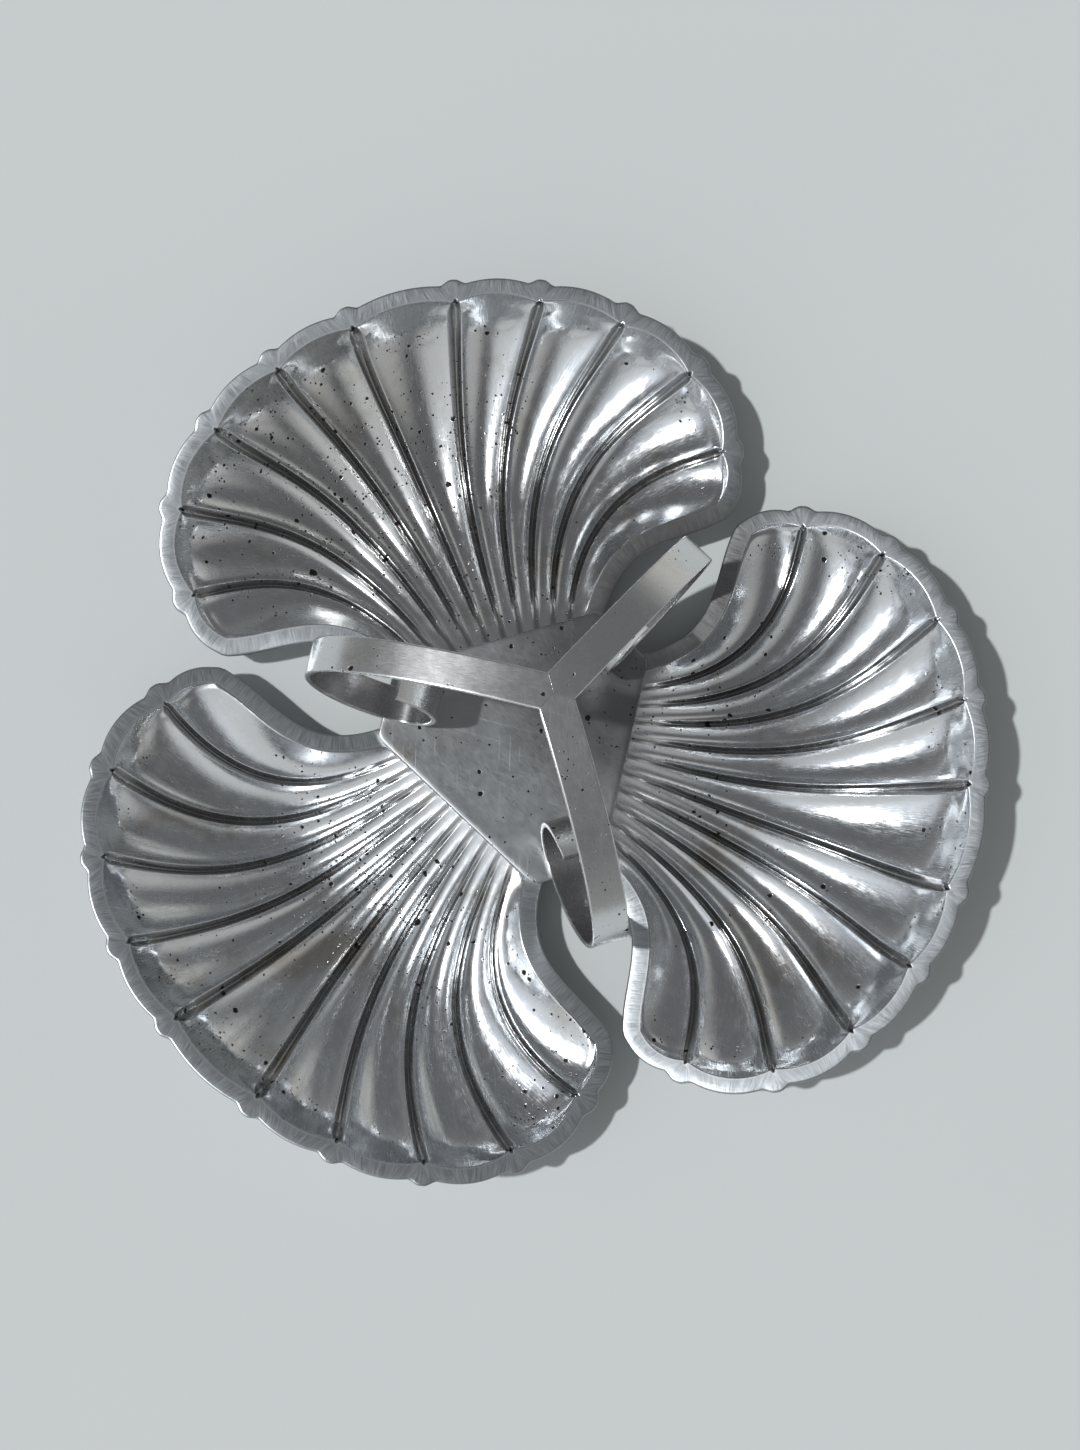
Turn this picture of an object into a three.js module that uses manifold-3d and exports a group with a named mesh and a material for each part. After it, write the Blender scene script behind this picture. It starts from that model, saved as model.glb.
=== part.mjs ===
// Serving dish of three scallop shells: each shell is one fluted sheet with a flat scalloped flange,
// its hinge tab soldered under a flat three-sided plate. Three flat straps, mitred together at the hub,
// curl out and down to the plate's corners and end in a scroll. Millimetres, +Z up, standing on z = 0.
import * as THREE from 'three';
import { mergeVertices } from 'three/addons/utils/BufferGeometryUtils.js';
import Module from 'manifold-3d';

const wasm = await Module();
wasm.setup();

// Sheet thicknesses and the solder film between soldered pieces
const SHELL_SHEET = 1.0;
const PLATE_SHEET = 1.2;
const STRAP_SHEET = 1.4;
const SOLDER_FILM = 0.3;

// Shell plan: x runs from the dish's axis through the shell's hinge to its tip, y runs across it
const FLUTES = 11;
const HINGE_REACH = 26.3;       // axis of the dish to the hinge line
const HINGE_WIDTH = 49;         // the fluted bowl's width at the hinge
const HINGE_TAB = 4.5;          // strip of the flange that lies under the plate
const RIM_CENTRE = 37.7;        // hinge line to the centre of the rim's ellipse
const RIM_LENGTH = 48.7;        // the ellipse's half length along the shell
const RIM_HALF_WIDTH = 71.4;    // and across it
const CENTRE_FLUTE = 27.5;      // widths of the flutes, measured round the rim
const FLUTE_PITCH = 22;
const END_FLUTE = 13.5;
const RIM_GROOVE = 3.4;         // width of the narrow grooves at the rim and at the hinge
const HINGE_GROOVE = 2.0;
const SCALLOP = 1.4;            // how far each flute's end bulges past its crests
const FLANGE_WAVE = 0.9;        // and the flange's outer edge outside it
const GROOVE_NOSE = 0.7;        // and each groove's rounded end
const FLANGE = 4.6;             // least width of the flat flange
const BUMP_WIDTH = 6.8;         // small point of the flange outside each groove
const BUMP_HEIGHT = 1.5;

// Headings of the flutes, in degrees for each flute away from the middle one
const HINGE_SPLAY_DEGREES = 5;
const RIM_SPLAY_DEGREES = 21.5;
const FLANK_HEADING_DEGREES = 76.5;   // heading of the shell's own side where it meets the rim
const HINGE_PULL_SHARE = 0.55;  // how long the flutes hold those headings, as shares of their chord
const RIM_PULL_SHARE = 0.3;

// Shell depth below the plane of its flange, which climbs outward from the hinge
const RIM_CLIMB_DEGREES = 8.6;
const FLUTE_DEPTH = 19;
const CREST_DEPTH = 16.9;
const GROOVE_DEPTH = 1.5;
const FLUTE_END_DEPTH = 6.5;    // where the rising bed of a flute or crest would meet the rim
const CREST_END_DEPTH = 4.3;
const FLUTE_WALL_DEGREES = 61;  // the wall that cuts the bed off, steeper in a flute than on a crest
const CREST_WALL_DEGREES = 51;
const DEEPEST_SHARE = 0.41;     // share of the way from hinge to rim
const SIDE_WALL_POWER = 4;
const GROOVE_RUN_IN_SHARE = 0.15;     // shares of the length over which a groove fades in and ends
const GROOVE_RUN_OUT_SHARE = 0.025;
const BELLY_FLAT = 1.0;         // how far the bellies are flattened where the dish stands

// Plate and handle
const PLATE_MARGIN = 2.7;       // plate's long side past the fluted width, at each end
const STRAP_WIDTH = 8.8;
const HUB_HEIGHT = 65;          // strap's top above the plate
const BEND_REACH = 57.5;        // outermost point of the strap's bend
const BEND_HEIGHT = 33;
const FOOT_REACH = 33;          // where the strap lies on the plate
const CURL_REACH = 23.5;        // innermost point of the scrolled end
const CURL_HEIGHT = 14;
const END_REACH = 35;           // tip of the scrolled end
const END_HEIGHT = 32.5;

// Fineness of the meshes
const FLUTE_STEPS = 4;
const GROOVE_STEPS = 2;
const ROW_SHARES = [0, 0.03, 0.1, 0.2, 0.32, 0.45, 0.6, 0.76, 0.88, 0.945, 1];
const STRAP_STEPS = 12;

const SHELL_AZIMUTHS = { front: -90, right: 30, left: 150 };
const STRAP_AZIMUTHS = { right: -30, back: 90, left: 210 };

const MIDDLE = (FLUTES - 1) / 2;
const LAST_GROOVE = FLUTES / 2 - 1;
const FLANK = FLUTES / 2;
const rim = new THREE.EllipseCurve(HINGE_REACH + RIM_CENTRE, 0, RIM_LENGTH, RIM_HALF_WIDTH, 0, Math.PI);
const rimLength = rim.getLength();
const lerp = THREE.MathUtils.lerp;

function heading(degrees) {
  const angle = THREE.MathUtils.degToRad(degrees);
  return new THREE.Vector2(Math.cos(angle), Math.sin(angle));
}

// Distance round the rim from the shell's tip; u counts flutes from the middle one
function rimDistance(u) {
  const away = Math.abs(u);
  const plain = Math.min(away, 0.5) * CENTRE_FLUTE
    + THREE.MathUtils.clamp(away - 0.5, 0, LAST_GROOVE - 0.5) * FLUTE_PITCH
    + Math.max(away - LAST_GROOVE, 0) * END_FLUTE;
  return Math.sign(u) * plain;
}

// Point of the rim's ellipse, moved outward along its normal
function rimPoint(distance, outward) {
  const share = Math.abs(distance) / rimLength;
  const point = rim.getPointAt(share);
  const tangent = rim.getTangentAt(share);
  point.add(new THREE.Vector2(tangent.y, -tangent.x).multiplyScalar(outward));
  point.y *= distance < 0 ? -1 : 1;
  return point;
}

// Line that a flute follows from the hinge to the rim
function fluteLine(u, outward) {
  const start = new THREE.Vector2(HINGE_REACH, u * HINGE_WIDTH / FLUTES);
  const end = rimPoint(rimDistance(u), outward);
  const chord = start.distanceTo(end);
  const past = Math.max(Math.abs(u) - LAST_GROOVE, 0);
  const grooved = RIM_SPLAY_DEGREES * Math.min(Math.abs(u), LAST_GROOVE);
  const arrival = Math.sign(u) * lerp(grooved, FLANK_HEADING_DEGREES, past);
  const leave = heading(HINGE_SPLAY_DEGREES * u).multiplyScalar(HINGE_PULL_SHARE * chord).add(start);
  const arrive = heading(arrival).multiplyScalar(-RIM_PULL_SHARE * chord).add(end);
  return new THREE.CubicBezierCurve(start, leave, arrive, end);
}

// Columns of the shell's mesh, from one flank to the other: across runs from -1 to 1 over a flute or groove
function shellColumns() {
  const columns = [];
  for (let flute = 0; flute < FLUTES; flute++) {
    const centre = flute - MIDDLE;
    for (let i = 0; i <= FLUTE_STEPS; i++) {
      columns.push({ centre, across: 2 * i / FLUTE_STEPS - 1, groove: false });
    }
    for (let i = 1; i < GROOVE_STEPS && flute < FLUTES - 1; i++) {
      columns.push({ centre: centre + 0.5, across: 2 * i / GROOVE_STEPS - 1, groove: true });
    }
  }
  return columns;
}

// Flute count u of a column, a share v of the way from the hinge to the rim
function columnPlace(column, v) {
  const pitch = lerp(HINGE_WIDTH / FLUTES, FLUTE_PITCH, v);
  const halfGroove = lerp(HINGE_GROOVE, RIM_GROOVE, v) / 2 / pitch;
  if (column.groove) return column.centre + column.across * halfGroove;
  const low = column.centre === -MIDDLE ? -FLANK : column.centre - 0.5 + halfGroove;
  const high = column.centre === MIDDLE ? FLANK : column.centre + 0.5 - halfGroove;
  return lerp(low, high, (column.across + 1) / 2);
}

// Depth of a bed that falls from the hinge, rises again and is cut off by a wall at the rim
function bedDepth(deepest, end, wallDegrees, v, side, toRim) {
  const before = 1 - Math.min(v, DEEPEST_SHARE) / DEEPEST_SHARE;
  const after = Math.max(v - DEEPEST_SHARE, 0) / (1 - DEEPEST_SHARE);
  const bed = deepest * (1 - before ** 2) - (deepest - end) * after ** 2;
  const wall = Math.tan(THREE.MathUtils.degToRad(wallDegrees)) * toRim;
  return Math.min(bed * side, wall);
}

function flangeHeight(x) {
  return Math.tan(THREE.MathUtils.degToRad(RIM_CLIMB_DEGREES)) * Math.max(0, x - HINGE_REACH);
}

// Point of the bowl's upper face; the plain bowl leaves out the flutes and grooves
function bowlPoint(column, v, plain) {
  const u = columnPlace(column, v);
  const arch = 1 - column.across ** 2;
  const line = fluteLine(u, arch * (column.groove ? GROOVE_NOSE : SCALLOP));
  const place = line.getPoint(v);
  const toRim = place.distanceTo(line.getPoint(1));
  const side = 1 - (Math.abs(u) / FLANK) ** SIDE_WALL_POWER;
  const crest = bedDepth(CREST_DEPTH, CREST_END_DEPTH, CREST_WALL_DEGREES, v, side, toRim);
  const flute = bedDepth(FLUTE_DEPTH, FLUTE_END_DEPTH, FLUTE_WALL_DEGREES, v, side, toRim);
  const groove = GROOVE_DEPTH * Math.min(1, v / GROOVE_RUN_IN_SHARE, (1 - v) / GROOVE_RUN_OUT_SHARE);
  const relief = column.groove ? arch * groove : arch * (flute - crest);
  const depth = plain ? crest : crest + relief;
  return new THREE.Vector3(place.x, place.y, flangeHeight(place.x) - depth);
}

function onFlange(point) {
  return new THREE.Vector3(point.x, point.y, flangeHeight(point.x));
}

// Rounded corner of the flange between two outward normals
function cornerPoint(inner, one, other) {
  const middle = one.clone().add(other).normalize();
  return inner.clone().addScaledVector(middle, FLANGE);
}

// Outer edge of the flange outside a column of the bowl, at the rim
function flangeRimPoint(column) {
  const arch = 1 - column.across ** 2;
  if (column.groove) {
    const distance = rimDistance(column.centre) + column.across * BUMP_WIDTH / 2;
    return rimPoint(distance, FLANGE + arch * BUMP_HEIGHT);
  }
  const low = rimDistance(column.centre - 0.5) + (column.centre === -MIDDLE ? 0 : BUMP_WIDTH / 2);
  const high = rimDistance(column.centre + 0.5) - (column.centre === MIDDLE ? 0 : BUMP_WIDTH / 2);
  return rimPoint(lerp(low, high, (column.across + 1) / 2), FLANGE + arch * FLANGE_WAVE);
}

// Outward normal of the shell's flank: side is 1 or -1
function flankNormal(side, v) {
  const tangent = fluteLine(side * FLANK, 0).getTangent(v);
  return new THREE.Vector2(-side * tangent.y, side * tangent.x);
}

// Outer edge of the flange along a flank, with its two corners
function flangeFlankPoint(side, v) {
  const inner = fluteLine(side * FLANK, 0).getPoint(v);
  const normal = flankNormal(side, v);
  const atRim = rimPoint(rimDistance(side * FLANK), 1).sub(rimPoint(rimDistance(side * FLANK), 0));
  if (v === 1) return cornerPoint(inner, normal, atRim);
  if (v === 0) return cornerPoint(inner, normal, new THREE.Vector2(-1, 0));
  return inner.addScaledVector(normal, FLANGE);
}

// Upper face of a shell as points and triangles: the bowl's grid, then the flange's outer edge round it
function shellFace(plain) {
  const columns = shellColumns();
  const rows = ROW_SHARES;
  const end = rows.length - 1;
  const width = columns.length;
  const last = width - 1;
  const points = rows.flatMap((v) => columns.map((column) => bowlPoint(column, v, plain)));
  const faces = [];
  const at = (row, column) => row * width + column;
  const quad = (a, b, c, d) => faces.push([a, b, c], [a, c, d]);
  for (let r = 0; r < end; r++) {
    for (let c = 0; c < last; c++) quad(at(r, c), at(r + 1, c), at(r + 1, c + 1), at(r, c + 1));
  }
  // The bowl's edge, walked round once, and the flange's outer edge beside it
  const inner = [];
  const outer = [];
  const walk = (index, point) => {
    inner.push(index);
    outer.push(onFlange(point));
  };
  for (let c = 1; c < last; c++) walk(at(end, c), flangeRimPoint(columns[c]));
  for (let r = end; r >= 0; r--) walk(at(r, last), flangeFlankPoint(1, rows[r]));
  for (let c = last - 1; c > 0; c--) {
    const hinge = points[at(0, c)];
    walk(at(0, c), new THREE.Vector2(hinge.x - HINGE_TAB, hinge.y));
  }
  for (let r = 0; r <= end; r++) walk(at(r, 0), flangeFlankPoint(-1, rows[r]));
  const edge = outer.map((point) => points.push(point) - 1);
  for (let i = 0; i < edge.length; i++) {
    const next = (i + 1) % edge.length;
    quad(inner[i], edge[i], edge[next], inner[next]);
  }
  return { points, faces, edge };
}

// Geometry of points and triangles
function solidGeometry(points, faces) {
  const geometry = new THREE.BufferGeometry();
  geometry.setAttribute('position', new THREE.Float32BufferAttribute(points.flatMap((p) => p.toArray()), 3));
  geometry.setIndex(faces.flat());
  geometry.computeVertexNormals();
  return geometry;
}

// Lowest height of the bellies' upper face, after they are flattened
function bellyFloor(points) {
  return Math.min(...points.map((point) => point.z)) + BELLY_FLAT;
}

// A shell: its upper face and the same face one sheet lower, joined at the flange's outer edge
function shellGeometry() {
  const { points, faces, edge } = shellFace(false);
  const plain = shellFace(true);
  const normals = solidGeometry(plain.points, plain.faces).getAttribute('normal');
  const floor = bellyFloor(points);
  const under = points.map((point, i) => {
    const normal = new THREE.Vector3().fromBufferAttribute(normals, i);
    const lower = point.clone().addScaledVector(normal, -SHELL_SHEET);
    lower.z = Math.max(lower.z, floor - SHELL_SHEET);
    return lower;
  });
  points.forEach((point) => { point.z = Math.max(point.z, floor); });
  const count = points.length;
  const all = faces.slice();
  faces.forEach(([a, b, c]) => all.push([a + count, c + count, b + count]));
  edge.forEach((a, i) => {
    const b = edge[(i + 1) % edge.length];
    all.push([a, a + count, b + count], [a, b + count, b]);
  });
  return { geometry: solidGeometry(points.concat(under), all), floor };
}

// Plate: three long sides over the hinges, with its corners cut off
function plateGeometry() {
  const outline = new THREE.Shape();
  const halfSide = HINGE_WIDTH / 2 + PLATE_MARGIN;
  const corners = Object.values(SHELL_AZIMUTHS).flatMap((azimuth) => [-1, 1].map((end) => (
    new THREE.Vector2(HINGE_REACH, end * halfSide)
      .rotateAround(new THREE.Vector2(), THREE.MathUtils.degToRad(azimuth)))));
  outline.setFromPoints(corners);
  return new THREE.ExtrudeGeometry(outline, { depth: PLATE_SHEET, bevelEnabled: false });
}

// Middle line of a strap in its own plane: x is the distance from the axis, y the height above the plate
function strapLine() {
  const half = STRAP_SHEET / 2;
  const at = (x, y) => new THREE.Vector2(x, y);
  const hub = at(0, HUB_HEIGHT - half);
  const bend = at(BEND_REACH - half, BEND_HEIGHT);
  const foot = at(FOOT_REACH, SOLDER_FILM + half);
  const curl = at(CURL_REACH + half, CURL_HEIGHT);
  const tip = at(END_REACH, END_HEIGHT);
  const path = new THREE.CurvePath();
  path.add(new THREE.CubicBezierCurve(hub, at(lerp(hub.x, bend.x, 0.6), hub.y),
    at(bend.x, lerp(bend.y, hub.y, 0.6)), bend));
  path.add(new THREE.CubicBezierCurve(bend, at(bend.x, lerp(bend.y, foot.y, 0.5)),
    at(lerp(foot.x, bend.x, 0.5), foot.y), foot));
  path.add(new THREE.CubicBezierCurve(foot, at(lerp(foot.x, curl.x, 0.6), foot.y),
    at(curl.x, lerp(curl.y, foot.y, 0.6)), curl));
  path.add(new THREE.CubicBezierCurve(curl, at(curl.x, lerp(curl.y, tip.y, 0.4)),
    at(lerp(curl.x, tip.x, 0.4), lerp(curl.y, tip.y, 0.75)), tip));
  return path;
}

// Closed mesh for the boolean cut
function asManifold(geometry) {
  const plain = geometry.clone();
  plain.deleteAttribute('normal');
  plain.deleteAttribute('uv');
  const merged = mergeVertices(plain);
  return new wasm.Manifold(new wasm.Mesh({
    numProp: 3,
    vertProperties: Float32Array.from(merged.getAttribute('position').array),
    triVerts: Uint32Array.from(merged.getIndex().array),
  }));
}

function fromManifold(solid) {
  const mesh = solid.getMesh();
  const geometry = new THREE.BufferGeometry();
  geometry.setAttribute('position', new THREE.BufferAttribute(mesh.vertProperties, 3));
  geometry.setIndex(new THREE.BufferAttribute(mesh.triVerts, 1));
  geometry.computeVertexNormals();
  return geometry;
}

// A flat outline in x and height, given its width across
function standing(outline, width) {
  const geometry = new THREE.ExtrudeGeometry(outline, { depth: width, bevelEnabled: false });
  return geometry.translate(0, 0, -width / 2).rotateX(Math.PI / 2);
}

// A strap: its curled side outline, given its width, then mitred to a third of the circle at the hub
function strapGeometry() {
  const path = strapLine();
  const pieces = path.curves.flatMap((curve, i) => {
    const shares = Array.from({ length: STRAP_STEPS }, (_, k) => k / STRAP_STEPS);
    if (i === path.curves.length - 1) shares.push(1);
    return shares.map((t) => ({ point: curve.getPoint(t), tangent: curve.getTangent(t) }));
  });
  const offset = (side) => pieces.map(({ point, tangent }) => (
    new THREE.Vector2(-tangent.y, tangent.x).multiplyScalar(side * STRAP_SHEET / 2).add(point)));
  const outline = new THREE.Shape(offset(1).concat(offset(-1).reverse()));
  const halfSector = Math.PI / Object.keys(STRAP_AZIMUTHS).length;
  const apex = SOLDER_FILM / 2 / Math.sin(halfSector);
  const far = 2 * BEND_REACH;
  const sector = new THREE.Shape([
    new THREE.Vector2(apex, 0),
    new THREE.Vector2(apex + far, -far * Math.tan(halfSector)),
    new THREE.Vector2(apex + far, far * Math.tan(halfSector)),
  ]);
  const wedge = new THREE.ExtrudeGeometry(sector, { depth: 4 * HUB_HEIGHT, bevelEnabled: false });
  wedge.translate(0, 0, -2 * HUB_HEIGHT);
  return fromManifold(asManifold(standing(outline, STRAP_WIDTH)).intersect(asManifold(wedge)));
}

function silver(color, roughness) {
  return new THREE.MeshStandardMaterial({ color, roughness, metalness: 1 });
}

function piece(name, geometry, material, azimuth, height) {
  const mesh = new THREE.Mesh(geometry, material);
  mesh.name = name;
  mesh.rotation.z = THREE.MathUtils.degToRad(azimuth);
  mesh.position.z = height;
  return mesh;
}

const tray = new THREE.Group();
const shell = shellGeometry();
const tabHeight = SHELL_SHEET - shell.floor;
const plateHeight = tabHeight + SOLDER_FILM;
for (const [place, azimuth] of Object.entries(SHELL_AZIMUTHS)) {
  tray.add(piece(`shell_dish_${place}`, shell.geometry, silver(0xa3a5a6, 0.3), azimuth, tabHeight));
}
tray.add(piece('centre_plate', plateGeometry(), silver(0x8f9193, 0.35), 0, plateHeight));
for (const [place, azimuth] of Object.entries(STRAP_AZIMUTHS)) {
  const strap = strapGeometry();
  tray.add(piece(`handle_strap_${place}`, strap, silver(0xaeb0b0, 0.3), azimuth, plateHeight + PLATE_SHEET));
}

// The origin is under the middle of the dish's outline
const box = new THREE.Box3().setFromObject(tray, true);
const middle = box.getCenter(new THREE.Vector3());
tray.position.set(-middle.x, -middle.y, -box.min.z);

export default tray;
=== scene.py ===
# Serving dish of three scallop shells with a scrolled strap handle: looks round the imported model
import math

import bpy
import numpy as np
from mathutils import Matrix, Vector


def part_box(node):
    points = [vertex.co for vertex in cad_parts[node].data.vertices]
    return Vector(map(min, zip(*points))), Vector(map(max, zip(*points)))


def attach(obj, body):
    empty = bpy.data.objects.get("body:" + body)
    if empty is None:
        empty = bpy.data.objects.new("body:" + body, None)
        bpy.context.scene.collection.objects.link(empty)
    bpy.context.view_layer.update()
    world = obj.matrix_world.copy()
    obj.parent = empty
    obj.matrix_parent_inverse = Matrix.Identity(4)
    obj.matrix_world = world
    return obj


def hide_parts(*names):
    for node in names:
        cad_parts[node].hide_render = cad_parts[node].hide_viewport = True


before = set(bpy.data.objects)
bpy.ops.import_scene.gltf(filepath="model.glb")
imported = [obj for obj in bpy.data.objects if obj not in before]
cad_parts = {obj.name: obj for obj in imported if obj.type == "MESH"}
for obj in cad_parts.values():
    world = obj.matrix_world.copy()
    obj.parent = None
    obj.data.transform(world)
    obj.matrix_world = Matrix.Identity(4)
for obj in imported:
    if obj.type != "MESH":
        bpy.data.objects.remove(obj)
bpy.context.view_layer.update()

MM = 0.001

# Shell plan in millimetres and degrees, the same as the solid's
FLUTES = 11
HINGE_REACH = 26.3
HINGE_WIDTH = 49.0
HINGE_TAB = 4.5
RIM_CENTRE = 37.7
RIM_LENGTH = 48.7
RIM_HALF_WIDTH = 71.4
CENTRE_FLUTE = 27.5
FLUTE_PITCH = 22.0
END_FLUTE = 13.5
RIM_GROOVE = 3.4
HINGE_GROOVE = 2.0
SCALLOP = 1.4
FLANGE_WAVE = 0.9
GROOVE_NOSE = 0.7
FLANGE = 4.6
BUMP_WIDTH = 6.8
HINGE_SPLAY = 5.0
RIM_SPLAY = 21.5
FLANK_HEADING = 76.5
HINGE_PULL = 0.55
RIM_PULL = 0.3
SHELL_SHEET = 1.0
SOLDER_FILM = 0.3

# Shell relief; some of its sizes differ a little from the solid's
RIM_CLIMB = math.tan(math.radians(8.6))
FLUTE_DEPTH = 18.4
FLUTE_END_DEPTH = 6.5
FLUTE_WALL_SLOPE = 1.8
FLUTE_WALL_TURN = 2.4
CREST_DEPTH = 16.4
CREST_END_DEPTH = 4.3
CREST_WALL_SLOPE = 1.25
CREST_WALL_TURN = 2.6
GROOVE_DEPTH = 1.7
GROOVE_RUN_IN = 0.15
GROOVE_RUN_OUT = 0.01
DEEPEST = 0.41
SIDE_WALL = 4.0
BUMP_HEIGHT = 1.25

# Finer forms that the solid leaves out
BUMP_SHOULDER = 0.85
NOSE_RUN = 0.022
NOSE_POINT = 0.3
LIP_HEIGHT = 0.28
LIP_REACH = 0.75
LIP_RUN_IN = 0.4
CHANNEL_ROUND = 0.2
OUTLINE_SOFTENING = 0.2
# Rounded flange: shares of its width, and heights above its upper face in sheet thicknesses
FLANGE_RINGS = [(0.06, -0.02), (0.14, 0.0), (0.5, 0.0), (0.86, 0.0), (0.95, -0.06), (0.99, -0.22),
                (1.0, -0.5), (0.99, -0.78), (0.95, -0.94), (0.5, -1.0), (0.14, -1.0)]

# Plate in millimetres, with a faint wave in its face
PLATE_SHEET = 1.2
PLATE_MARGIN = 2.7
PLATE_WAVE = 0.05
WAVE_TURNS = (0.16, 0.13)
WAVE_START = 1.0
WAVE_FADE = 6
PLATE_HOLLOW = 0.04
HOLLOW_SHARE = 0.9
# Rings of the plate from its middle outward, then its rounded edge: share of the outline, drop
PLATE_FACE = [0.02, *np.linspace(0.08, 0.95, 22)]
PLATE_EDGE = [(0.985, 0.0), (0.997, 0.1), (1.0, 0.3), (1.0, 0.9), (0.997, 1.1), (0.985, 1.2)]

# Straps in millimetres; the hub is a hair lower than the solid's, to stay inside its box
STRAP_SHEET = 1.4
STRAP_WIDTH = 8.8
STRAP_EDGE = 0.3
HUB_HEIGHT = 64.97
BEND_REACH = 57.5
BEND_HEIGHT = 33.0
FOOT_REACH = 33.0
CURL_REACH = 23.5
CURL_HEIGHT = 14.0
END_REACH = 35.0
END_HEIGHT = 32.5
# How far the strap holds its heading, as shares of the way to the next point
ARC_PULL = 0.6
FOOT_PULL = 0.5
TIP_PULL = 0.4
TIP_RISE = 0.75
# Mitred end at the hub
MITRE_SLOPE = math.tan(math.pi / 3)
MITRE_SEAM = 0.015
MITRE_REACH = 10.0
MITRE_TIP = 0.03
MITRE_EDGE = 0.02

SHELL_AZIMUTHS = {"front": -90.0, "right": 30.0, "left": 150.0}
STRAP_AZIMUTHS = {"right": -30.0, "back": 90.0, "left": 210.0}

# Fineness of the meshes
FLUTE_STEPS = 14
GROOVE_STEPS = 14
SHELL_ROWS = 72
RIM_SAMPLES = 4001
NUDGE = 1e-4
PLATE_STEPS = 28
PLATE_SOFTENINGS = 3
STRAP_STATIONS = 48
STRAP_CORNER_STEPS = 3
STRAP_FACE_SHARES = (0.93, 0.6, 0.0, -0.6, -0.93)
STRAP_SHARP = 40.0
MITRE_STATIONS = np.linspace(0.0004, 0.0245, 12)
MITRE_RESUME = 0.0255

MIDDLE = (FLUTES - 1) / 2
LAST_GROOVE = FLUTES / 2 - 1
FLANK = FLUTES / 2

# The dish's axis at the height of the shells' hinge tabs
plate_low, plate_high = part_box("centre_plate")
AXIS = Vector(((plate_low.x + plate_high.x) / 2,
               plate_low.y + HINGE_REACH * MM,
               plate_low.z - SOLDER_FILM * MM))


def lerp(a, b, t):
    return a + (b - a) * t


def cubic(start, leave, arrive, end, t):
    return ((1 - t) ** 3 * start + 3 * t * (1 - t) ** 2 * leave
            + 3 * t ** 2 * (1 - t) * arrive + t ** 3 * end)


def cubic_direction(start, leave, arrive, end, t):
    slope = (3 * (1 - t) ** 2 * (leave - start) + 6 * t * (1 - t) * (arrive - leave)
             + 3 * t ** 2 * (end - arrive))
    return slope / np.linalg.norm(slope, axis=1, keepdims=True)


def running_length(points):
    steps = np.linalg.norm(np.diff(points, axis=0), axis=1)
    return np.concatenate([[0], np.cumsum(steps)])


# The rim's ellipse by distance from the shell's tip
rim_angle = np.linspace(0, math.pi, RIM_SAMPLES)
rim_ellipse = np.stack([RIM_LENGTH * np.cos(rim_angle), RIM_HALF_WIDTH * np.sin(rim_angle)], axis=1)
rim_run = running_length(rim_ellipse)


def rim_distance(u):
    """Distance round the rim from the shell's tip to flute count u."""
    away = np.abs(u)
    plain = (np.minimum(away, 0.5) * CENTRE_FLUTE
             + np.clip(away - 0.5, 0, LAST_GROOVE - 0.5) * FLUTE_PITCH
             + np.maximum(away - LAST_GROOVE, 0) * END_FLUTE)
    return np.sign(u) * plain


def rim_point(distance, outward):
    angle = np.interp(np.abs(distance), rim_run, rim_angle)
    normal = np.stack([np.cos(angle) / RIM_LENGTH, np.sin(angle) / RIM_HALF_WIDTH], axis=-1)
    normal /= np.linalg.norm(normal, axis=-1, keepdims=True)
    side = np.where(distance < 0, -1.0, 1.0)
    x = HINGE_REACH + RIM_CENTRE + RIM_LENGTH * np.cos(angle) + normal[..., 0] * outward
    y = RIM_HALF_WIDTH * np.sin(angle) + normal[..., 1] * outward
    return np.stack([x, side * y], axis=-1)


def heading(degrees):
    return np.stack([np.cos(np.radians(degrees)), np.sin(np.radians(degrees))], axis=-1)


def flute_point(u, v, outward):
    """Plan point on the line that flute count u follows, a share v of the way from hinge to rim."""
    u = np.asarray(u, float)
    start = np.stack([np.full_like(u, HINGE_REACH), u * HINGE_WIDTH / FLUTES], axis=-1)
    end = rim_point(rim_distance(u), outward)
    chord = np.linalg.norm(end - start, axis=-1, keepdims=True)
    past = np.maximum(np.abs(u) - LAST_GROOVE, 0)
    arrival = np.sign(u) * lerp(RIM_SPLAY * np.minimum(np.abs(u), LAST_GROOVE), FLANK_HEADING, past)
    leave = start + heading(HINGE_SPLAY * u) * HINGE_PULL * chord
    arrive = end - heading(arrival) * RIM_PULL * chord
    return cubic(start, leave, arrive, end, np.asarray(v, float)[..., None])


def flange_height(x):
    return RIM_CLIMB * np.maximum(0, x - HINGE_REACH)


def groove_width(v):
    return lerp(HINGE_GROOVE, RIM_GROOVE, v)


def flute_spacing(v):
    return lerp(HINGE_WIDTH / FLUTES, FLUTE_PITCH, v)


def profile(v, end):
    """Depth of a flute's bed along its length, as a share of its greatest depth."""
    rise = 1 - (1 - np.minimum(v, DEEPEST) / DEEPEST) ** 2
    fall = 1 - (1 - end) * (np.maximum(v - DEEPEST, 0) / (1 - DEEPEST)) ** 2
    return np.where(v < DEEPEST, rise, fall)


def smooth_least(a, b, turn):
    return (a + b - np.sqrt((a - b) ** 2 + turn ** 2)) / 2


def shell_columns():
    """Columns of the shell's grid: middle of the flute or groove, place across it, and which it is."""
    centre, across, groove = [], [], []
    for flute in range(FLUTES):
        c = flute - MIDDLE
        for i in range(FLUTE_STEPS + 1):
            centre.append(c)
            across.append(math.sin(math.pi / 2 * (2 * i / FLUTE_STEPS - 1)))
            groove.append(False)
        if flute < FLUTES - 1:
            for i in range(1, GROOVE_STEPS):
                centre.append(c + 0.5)
                across.append(2 * i / GROOVE_STEPS - 1)
                groove.append(True)
    return np.array(centre), np.array(across), np.array(groove)


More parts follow.
